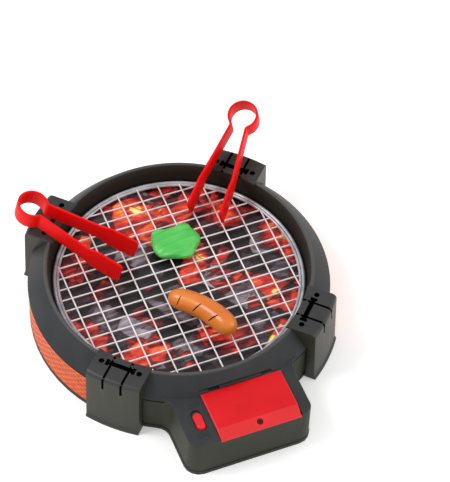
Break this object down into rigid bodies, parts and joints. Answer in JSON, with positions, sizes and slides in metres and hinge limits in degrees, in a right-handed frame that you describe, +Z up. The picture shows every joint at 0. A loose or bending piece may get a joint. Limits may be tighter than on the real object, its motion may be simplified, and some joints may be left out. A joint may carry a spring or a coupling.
{
  "type": "toy barbecue grill",
  "caption": "Round toy barbecue with a sloping ring, a wire grate over a lit ember sheet, clamp brackets, a battery box with switch, tongs and play food.",
  "frame": {"origin": "on the table under the middle of the round body, at the middle of the base tray's flat underside", "axes": "+Z up, -Y from the round body towards the control box, +X to the right when the control box faces the viewer"},
  "size_m": [0.242, 0.2794, 0.0922],
  "materials": {
    "housing_plastic": "fine satin moulded surface",
    "bracket_plastic": "fine satin moulded surface",
    "panel_plastic": "satin with an embossed diamond pattern",
    "grate_metal": "bright plated wire",
    "ember_print": "glossy sheet printed with glowing charcoal",
    "white_plastic": "white reflector",
    "circuit_board": "green solder mask",
    "lamp_resin": "clear tinted resin",
    "cover_plastic": "smooth semi-gloss",
    "switch_plastic": "smooth semi-gloss",
    "switch_metal": "folded steel can",
    "screw_metal": "zinc plated",
    "contact_metal": "nickel plated",
    "cell_wrap": "plain printed sleeve",
    "tongs_plastic": "smooth semi-gloss",
    "sausage_vinyl": "smooth soft vinyl",
    "pepper_vinyl": "smooth soft vinyl"
  },
  "bodies": {
    "housing": {"upper_housing": "housing_plastic", "base_tray": "housing_plastic", "side_panel_right": "panel_plastic", "side_panel_back": "panel_plastic", "side_panel_left": "panel_plastic", "clamp_bracket_back_right": "bracket_plastic", "bracket_screw_back_right_1": "screw_metal", "bracket_screw_back_right_2": "screw_metal", "clamp_bracket_back_left": "bracket_plastic", "bracket_screw_back_left_1": "screw_metal", "bracket_screw_back_left_2": "screw_metal", "clamp_bracket_front_left": "bracket_plastic", "bracket_screw_front_left_1": "screw_metal", "bracket_screw_front_left_2": "screw_metal", "clamp_bracket_front_right": "bracket_plastic", "bracket_screw_front_right_1": "screw_metal", "bracket_screw_front_right_2": "screw_metal", "ember_sheet": "ember_print", "light_bowl": "white_plastic", "lamp_board": "circuit_board", "lamp_1": "lamp_resin", "lamp_2": "lamp_resin", "lamp_3": "lamp_resin", "battery_bay": "housing_plastic", "battery_cell_1": "cell_wrap", "battery_cell_2": "cell_wrap", "contact_plate_1": "contact_metal", "contact_plate_2": "contact_metal", "contact_spring_1": "contact_metal", "contact_spring_2": "contact_metal", "slide_switch": "switch_metal", "case_screw_1": "screw_metal", "case_screw_2": "screw_metal", "case_screw_3": "screw_metal", "case_screw_4": "screw_metal", "case_screw_5": "screw_metal"},
    "grate": {"grate": "grate_metal"},
    "sausage": {"sausage": "sausage_vinyl"},
    "pepper_slice": {"pepper_slice": "pepper_vinyl"},
    "tongs_left": {"tongs_left_loop": "tongs_plastic"},
    "tongs_left_arm_1": {"tongs_left_arm_1": "tongs_plastic"},
    "tongs_left_arm_2": {"tongs_left_arm_2": "tongs_plastic"},
    "tongs_right": {"tongs_right_loop": "tongs_plastic"},
    "tongs_right_arm_1": {"tongs_right_arm_1": "tongs_plastic"},
    "tongs_right_arm_2": {"tongs_right_arm_2": "tongs_plastic"},
    "battery_cover": {"battery_cover": "cover_plastic", "cover_screw": "screw_metal"},
    "switch_slider": {"switch_slider": "switch_plastic"}
  },
  "joints": [
    {"name": "grate_lift", "type": "slide", "parent": "housing", "child": "grate", "axis": [0, 0, 1], "range_m": [0, 0.06]},
    {"name": "sausage_lift", "type": "slide", "parent": "grate", "child": "sausage", "axis": [0, 0, 1], "range_m": [0, 0.05]},
    {"name": "pepper_lift", "type": "slide", "parent": "grate", "child": "pepper_slice", "axis": [0, 0, 1], "range_m": [0, 0.05]},
    {"name": "tongs_left_lift", "type": "slide", "parent": "grate", "child": "tongs_left", "axis": [0, 0, 1], "range_m": [0, 0.06]},
    {"name": "tongs_left_squeeze_1", "type": "hinge", "parent": "tongs_left", "child": "tongs_left_arm_1", "pos_m": [-0.09111, 0.06966, 0.06724], "axis": [0.1529, -0.1645, 0.9745], "range_deg": [0, 9], "stiffness_Nm_per_rad": 0.3},
    {"name": "tongs_left_squeeze_2", "type": "hinge", "parent": "tongs_left", "child": "tongs_left_arm_2", "pos_m": [-0.08115, 0.07892, 0.06724], "axis": [-0.1529, 0.1645, -0.9745], "range_deg": [0, 9], "stiffness_Nm_per_rad": 0.3},
    {"name": "tongs_right_lift", "type": "slide", "parent": "grate", "child": "tongs_right", "axis": [0, 0, 1], "range_m": [0, 0.06]},
    {"name": "tongs_right_squeeze_1", "type": "hinge", "parent": "tongs_right", "child": "tongs_right_arm_1", "pos_m": [0.08392, 0.10195, 0.07584], "axis": [-0.2381, -0.2509, 0.9383], "range_deg": [0, 9], "stiffness_Nm_per_rad": 0.3},
    {"name": "tongs_right_squeeze_2", "type": "hinge", "parent": "tongs_right", "child": "tongs_right_arm_2", "pos_m": [0.09378, 0.09259, 0.07584], "axis": [0.2381, 0.2509, -0.9383], "range_deg": [0, 9], "stiffness_Nm_per_rad": 0.3},
    {"name": "cover_hinge", "type": "hinge", "parent": "housing", "child": "battery_cover", "pos_m": [0.0068, -0.1122, 0.0405], "axis": [-1, 0, 0], "range_deg": [0, 60]},
    {"name": "power_slide", "type": "slide", "parent": "housing", "child": "switch_slider", "axis": [0, 1, 0], "range_m": [0, 0.0032]}
  ],
  "couplings": [
    {"joint": "tongs_left_squeeze_2", "follows": "tongs_left_squeeze_1", "ratio": 1},
    {"joint": "tongs_right_squeeze_2", "follows": "tongs_right_squeeze_1", "ratio": 1}
  ]
}
